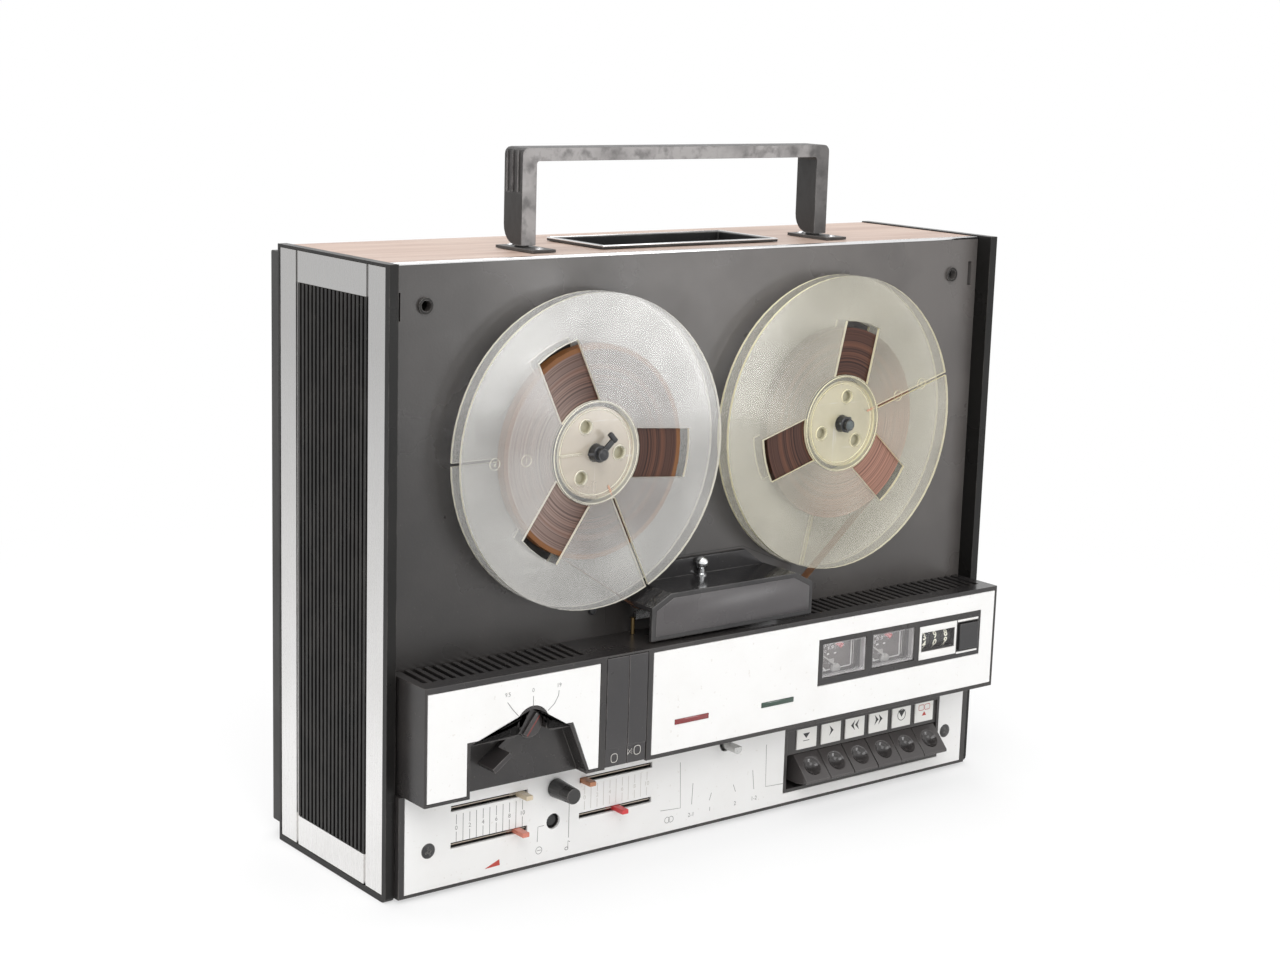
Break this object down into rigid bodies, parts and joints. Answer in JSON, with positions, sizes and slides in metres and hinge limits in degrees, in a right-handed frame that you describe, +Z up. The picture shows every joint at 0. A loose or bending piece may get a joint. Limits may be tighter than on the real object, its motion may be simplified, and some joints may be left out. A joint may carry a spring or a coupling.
{
  "type": "reel-to-reel tape recorder",
  "caption": "Upright portable tape recorder with two reels, folding carrying handle, meter and counter housing, slider controls, piano keys and ribbed sides with bright trim.",
  "frame": {"origin": "on the surface it stands on, under the middle of the whole box", "axes": "+X to the machine's right as seen from the front, +Z up; the front with the reels and controls faces -Y"},
  "size_m": [0.4436, 0.165, 0.4013],
  "materials": {
    "black_plastic": "fine grained black moulding, edges worn grey",
    "dark_plastic": "smooth dark grey",
    "aluminium_trim": "brushed lengthwise",
    "steel_parts": "turned and plated",
    "wood_veneer": "pale brown veneer, satin",
    "white_plate": "off-white, satin, dark print",
    "reel_plastic": "milky translucent, cream edges",
    "brown_tape": "brown oxide tape wound flat",
    "rubber_parts": "black rubber",
    "cream_knob": "cream",
    "red_knob": "red",
    "orange_knob": "orange brown",
    "board": "brown resin board",
    "transformer_iron": "varnished sheet iron and winding",
    "key_plastic": "dark grey, worn smooth"
  },
  "bodies": {
    "case": {"left_side_panel": "black_plastic", "right_side_panel": "black_plastic", "rear_cover": "black_plastic", "control_housing": "black_plastic", "lower_frame": "black_plastic", "handle_well": "black_plastic", "left_handle_foot": "black_plastic", "right_handle_foot": "black_plastic", "head_cover": "black_plastic", "bottom_panel": "black_plastic", "deck_plate": "dark_plastic", "instrument_unit": "dark_plastic", "socket_panel": "dark_plastic", "left_speaker": "dark_plastic", "right_speaker": "dark_plastic", "left_side_trim": "aluminium_trim", "right_side_trim": "aluminium_trim", "chassis": "steel_parts", "motor": "steel_parts", "head_block": "steel_parts", "top_panel": "wood_veneer", "left_fascia": "white_plate", "right_fascia": "white_plate", "lower_fascia": "white_plate", "drive_belt": "rubber_parts", "amplifier_board": "board", "transformer": "transformer_iron"},
    "handle_body": {"handle": "black_plastic"},
    "left_spool": {"left_turntable": "black_plastic", "left_reel": "reel_plastic", "left_tape_pack": "brown_tape"},
    "right_spool": {"right_turntable": "black_plastic", "right_reel": "reel_plastic", "right_tape_pack": "brown_tape"},
    "capstan_wheel": {"flywheel": "steel_parts"},
    "drive_pulley": {"motor_pulley": "steel_parts"},
    "pinch_arm_body": {"pinch_arm": "steel_parts"},
    "pinch_roller_body": {"pinch_roller": "rubber_parts"},
    "key_1": {"piano_key_1": "key_plastic"},
    "key_2": {"piano_key_2": "key_plastic"},
    "key_3": {"piano_key_3": "key_plastic"},
    "key_4": {"piano_key_4": "key_plastic"},
    "key_5": {"piano_key_5": "key_plastic"},
    "key_6": {"piano_key_6": "key_plastic"},
    "left_upper_slider_body": {"left_upper_slider": "cream_knob"},
    "left_lower_slider_body": {"left_lower_slider": "red_knob"},
    "right_upper_slider_body": {"right_upper_slider": "orange_knob"},
    "right_lower_slider_body": {"right_lower_slider": "red_knob"},
    "tone": {"tone_knob": "black_plastic"},
    "level": {"level_shaft": "steel_parts"},
    "input_selector": {"input_selector_shaft": "steel_parts"},
    "speed_lever": {"speed_selector": "black_plastic"},
    "left_tall_key": {"tall_key_left": "black_plastic"},
    "right_tall_key": {"tall_key_right": "black_plastic"},
    "units_drum": {"counter_drum_3": "black_plastic"},
    "tens_drum": {"counter_drum_2": "black_plastic"},
    "hundreds_drum": {"counter_drum_1": "black_plastic"},
    "reset": {"reset_button": "black_plastic"},
    "left_needle": {"left_meter_needle": "red_knob"},
    "right_needle": {"right_meter_needle": "red_knob"}
  },
  "joints": [
    {"name": "handle_fold", "type": "hinge", "parent": "case", "child": "handle_body", "pos_m": [0, -0.0048, 0.3586], "axis": [-1, 0, 0], "range_deg": [0, 90]},
    {"name": "left_spool_spin", "type": "hinge", "parent": "case", "child": "left_spool", "pos_m": [-0.0915, -0.0467, 0.237], "axis": [0, 1, 0], "continuous": true},
    {"name": "right_spool_spin", "type": "hinge", "parent": "case", "child": "right_spool", "pos_m": [0.092, -0.0467, 0.238], "axis": [0, 1, 0], "continuous": true},
    {"name": "flywheel_spin", "type": "hinge", "parent": "case", "child": "capstan_wheel", "pos_m": [0.026, 0.0229, 0.1363], "axis": [0, 1, 0], "continuous": true},
    {"name": "motor_pulley_spin", "type": "hinge", "parent": "case", "child": "drive_pulley", "pos_m": [-0.07, 0.0232, 0.116], "axis": [0, 1, 0], "continuous": true},
    {"name": "pinch_arm_swing", "type": "hinge", "parent": "case", "child": "pinch_arm_body", "pos_m": [0.046, -0.0438, 0.1455], "axis": [0, -1, 0], "range_deg": [0, 4], "stiffness_Nm_per_rad": 0.02, "springref_deg": -11.46},
    {"name": "pinch_roller_spin", "type": "hinge", "parent": "pinch_arm_body", "child": "pinch_roller_body", "pos_m": [0.026, -0.0457, 0.1455], "axis": [0, 1, 0], "continuous": true},
    {"name": "key_1_press", "type": "hinge", "parent": "case", "child": "key_1", "pos_m": [0.07715, -0.042, 0.025], "axis": [1, 0, 0], "range_deg": [0, 10], "stiffness_Nm_per_rad": 0.05, "springref_deg": -8.59},
    {"name": "key_2_press", "type": "hinge", "parent": "case", "child": "key_2", "pos_m": [0.09725, -0.042, 0.025], "axis": [1, 0, 0], "range_deg": [0, 10], "stiffness_Nm_per_rad": 0.05, "springref_deg": -8.59},
    {"name": "key_3_press", "type": "hinge", "parent": "case", "child": "key_3", "pos_m": [0.11735, -0.042, 0.025], "axis": [1, 0, 0], "range_deg": [0, 10], "stiffness_Nm_per_rad": 0.05, "springref_deg": -8.59},
    {"name": "key_4_press", "type": "hinge", "parent": "case", "child": "key_4", "pos_m": [0.13745, -0.042, 0.025], "axis": [1, 0, 0], "range_deg": [0, 10], "stiffness_Nm_per_rad": 0.05, "springref_deg": -8.59},
    {"name": "key_5_press", "type": "hinge", "parent": "case", "child": "key_5", "pos_m": [0.15755, -0.042, 0.025], "axis": [1, 0, 0], "range_deg": [0, 10], "stiffness_Nm_per_rad": 0.05, "springref_deg": -8.59},
    {"name": "key_6_press", "type": "hinge", "parent": "case", "child": "key_6", "pos_m": [0.17765, -0.042, 0.025], "axis": [1, 0, 0], "range_deg": [0, 10], "stiffness_Nm_per_rad": 0.05, "springref_deg": -8.59},
    {"name": "left_upper_slide", "type": "slide", "parent": "case", "child": "left_upper_slider_body", "axis": [1, 0, 0], "range_m": [-0.043, 0.0022]},
    {"name": "left_lower_slide", "type": "slide", "parent": "case", "child": "left_lower_slider_body", "axis": [1, 0, 0], "range_m": [-0.041, 0.0042]},
    {"name": "right_upper_slide", "type": "slide", "parent": "case", "child": "right_upper_slider_body", "axis": [1, 0, 0], "range_m": [0, 0.0466]},
    {"name": "right_lower_slide", "type": "slide", "parent": "case", "child": "right_lower_slider_body", "axis": [1, 0, 0], "range_m": [-0.0238, 0.0229]},
    {"name": "tone_turn", "type": "hinge", "parent": "case", "child": "tone", "pos_m": [-0.113, -0.0555, 0.0467], "axis": [0, 1, 0], "range_deg": [-150, 150]},
    {"name": "level_turn", "type": "hinge", "parent": "case", "child": "level", "pos_m": [-0.114, -0.0555, 0.0269], "axis": [0, 1, 0], "range_deg": [-150, 150]},
    {"name": "input_turn", "type": "hinge", "parent": "case", "child": "input_selector", "pos_m": [0.0115, -0.0555, 0.0503], "axis": [0, 1, 0], "range_deg": [-75, 75]},
    {"name": "speed_turn", "type": "hinge", "parent": "case", "child": "speed_lever", "pos_m": [-0.145, -0.0683, 0.095], "axis": [0, -1, 0], "range_deg": [0, 108]},
    {"name": "left_tall_key_press", "type": "hinge", "parent": "case", "child": "left_tall_key", "pos_m": [-0.0878, -0.0762, 0.1196], "axis": [1, 0, 0], "range_deg": [0, 4], "stiffness_Nm_per_rad": 0.03, "springref_deg": -4.58},
    {"name": "right_tall_key_press", "type": "hinge", "parent": "case", "child": "right_tall_key", "pos_m": [-0.0732, -0.0762, 0.1196], "axis": [1, 0, 0], "range_deg": [0, 4], "stiffness_Nm_per_rad": 0.03, "springref_deg": -4.58},
    {"name": "hundreds_drum_spin", "type": "hinge", "parent": "case", "child": "hundreds_drum", "pos_m": [0.149, -0.0677, 0.09815], "axis": [1, 0, 0], "continuous": true},
    {"name": "tens_drum_spin", "type": "hinge", "parent": "case", "child": "tens_drum", "pos_m": [0.1582, -0.0677, 0.09815], "axis": [1, 0, 0], "continuous": true},
    {"name": "units_drum_spin", "type": "hinge", "parent": "case", "child": "units_drum", "pos_m": [0.1675, -0.0677, 0.09815], "axis": [1, 0, 0], "continuous": true},
    {"name": "reset_press", "type": "slide", "parent": "case", "child": "reset", "axis": [0, 1, 0], "range_m": [0, 0.003], "stiffness_N_per_m": 200, "springref_m": -0.002},
    {"name": "left_needle_swing", "type": "hinge", "parent": "case", "child": "left_needle", "pos_m": [0.0838, -0.069, 0.0917], "axis": [0, 1, 0], "range_deg": [0, 110], "stiffness_Nm_per_rad": 0.00005, "springref_deg": -11.46},
    {"name": "right_needle_swing", "type": "hinge", "parent": "case", "child": "right_needle", "pos_m": [0.1247, -0.069, 0.0917], "axis": [0, 1, 0], "range_deg": [0, 110], "stiffness_Nm_per_rad": 0.00005, "springref_deg": -11.46}
  ],
  "couplings": [
    {"joint": "motor_pulley_spin", "follows": "flywheel_spin", "ratio": 4.1461},
    {"joint": "units_drum_spin", "follows": "right_spool_spin", "ratio": 0.5},
    {"joint": "tens_drum_spin", "follows": "right_spool_spin", "ratio": 0.05},
    {"joint": "hundreds_drum_spin", "follows": "right_spool_spin", "ratio": 0.005}
  ]
}
